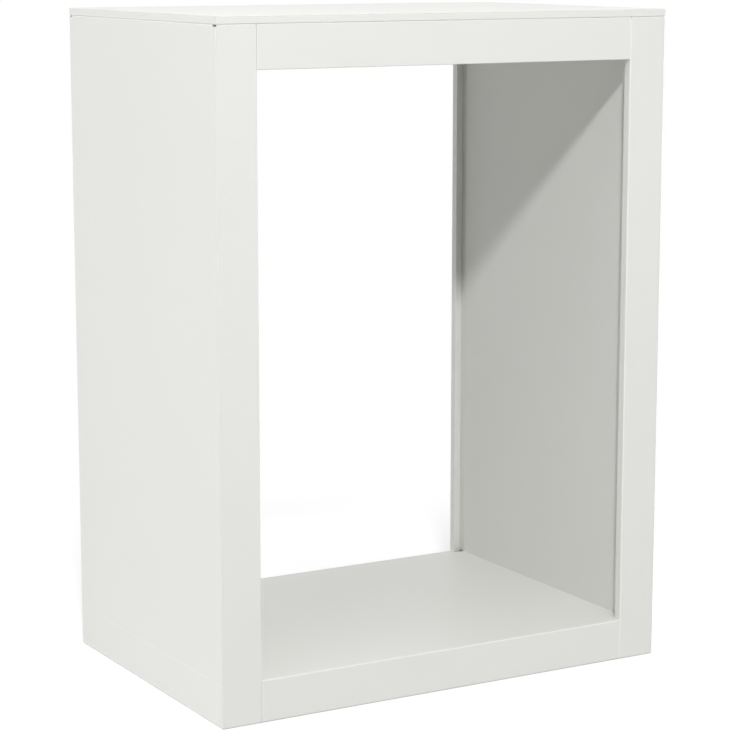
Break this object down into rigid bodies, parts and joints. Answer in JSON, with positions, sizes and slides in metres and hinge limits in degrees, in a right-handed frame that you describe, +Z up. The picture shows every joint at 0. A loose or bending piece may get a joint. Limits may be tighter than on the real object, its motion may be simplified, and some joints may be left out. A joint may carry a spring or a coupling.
{
  "type": "firewood rack",
  "caption": "Upright firewood rack of folded white sheet steel: a box open at front and back, with double side walls, a floor raised on bottom rails and a flat lid flush with the walls.",
  "frame": {"origin": "on the ground under the middle of the rack", "axes": "+Z up, +X to the right as seen from the front, the front faces -Y"},
  "size_m": [0.6, 0.4, 0.8],
  "materials": {
    "powder_coat": "satin white powder coat on sheet steel",
    "zinc_plate": "bright zinc plate on steel"
  },
  "bodies": {
    "root": {"left_side_panel": "powder_coat", "right_side_panel": "powder_coat", "left_inner_wall": "powder_coat", "right_inner_wall": "powder_coat", "base_pan": "powder_coat", "front_top_rail": "powder_coat", "rear_top_rail": "powder_coat", "top_panel": "powder_coat", "floor_stiffener": "powder_coat", "lid_stiffener": "powder_coat", "base_screws": "zinc_plate", "base_nuts": "zinc_plate", "rail_screws": "zinc_plate", "rail_nuts": "zinc_plate", "lid_screws": "zinc_plate", "lid_nuts": "zinc_plate"}
  },
  "joints": []
}
